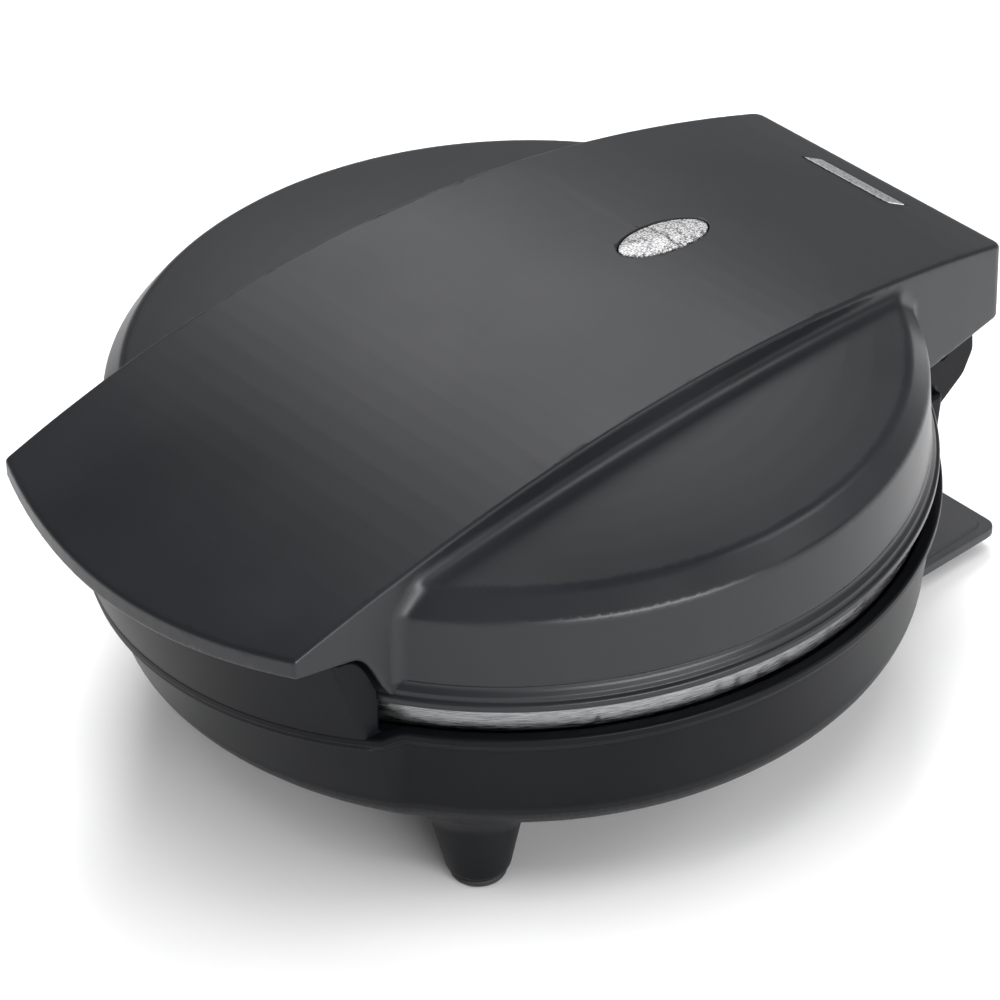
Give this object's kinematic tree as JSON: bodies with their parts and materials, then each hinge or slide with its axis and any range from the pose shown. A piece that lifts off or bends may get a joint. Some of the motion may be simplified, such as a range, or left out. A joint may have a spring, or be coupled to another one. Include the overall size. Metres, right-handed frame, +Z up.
{
  "type": "donut maker",
  "caption": "Round electric donut maker: hinged lid with a front handle band, lower bowl on legs, and paired ring-mould baking plates.",
  "frame": {"origin": "centre of the bounding box in plan, at the plane the feet stand on", "axes": "+Z up, the handle at -Y, the hinge at +Y, +X across"},
  "size_m": [0.2306, 0.277, 0.1198],
  "materials": {
    "black_plastic": "fine-grained satin black moulding",
    "inner_plastic": "matte black moulding",
    "coated_aluminium": "cast, machined edge, dark non-stick face",
    "sheet_aluminium": "bright pressed sheet",
    "badge_aluminium": "brushed",
    "element_sheath": "dull heated sheath",
    "steel": "zinc plated",
    "rubber": "matte",
    "clear_lens": "clear, ribbed inside",
    "red_lamp": "glossy",
    "green_lamp": "glossy",
    "white_plastic": "ceramic-filled moulding"
  },
  "bodies": {
    "base": {"lower_housing": "black_plastic", "lower_baking_plate": "coated_aluminium", "lower_heating_element": "element_sheath", "lower_reflector": "sheet_aluminium", "lower_thermostat": "steel", "thermal_fuse": "white_plastic", "terminal_block": "white_plastic", "cord_gland": "rubber", "cord_wrap_bracket": "black_plastic", "foot_pad_1": "rubber", "foot_pad_2": "rubber", "foot_pad_3": "rubber", "foot_pad_4": "rubber", "wrap_screw_1": "steel", "wrap_screw_2": "steel", "lower_plate_screw_1": "steel", "lower_plate_screw_2": "steel", "lower_plate_screw_3": "steel", "hinge_pin_right": "steel", "hinge_pin_left": "steel"},
    "lid": {"upper_housing": "black_plastic", "upper_baking_plate": "coated_aluminium", "upper_heating_element": "element_sheath", "upper_reflector": "sheet_aluminium", "upper_thermostat": "steel", "lens_front": "clear_lens", "lens_rear": "clear_lens", "lamp_holder": "inner_plastic", "power_lamp": "red_lamp", "ready_lamp": "green_lamp", "handle_cover": "inner_plastic", "handle_screw_1": "steel", "handle_screw_2": "steel", "upper_plate_screw_1": "steel", "upper_plate_screw_2": "steel", "upper_plate_screw_3": "steel", "badge_plate": "badge_aluminium"}
  },
  "joints": [
    {"name": "lid_hinge", "type": "hinge", "parent": "base", "child": "lid", "pos_m": [0, 0.118, 0.071], "axis": [-1, 0, 0], "range_deg": [0, 100]}
  ]
}
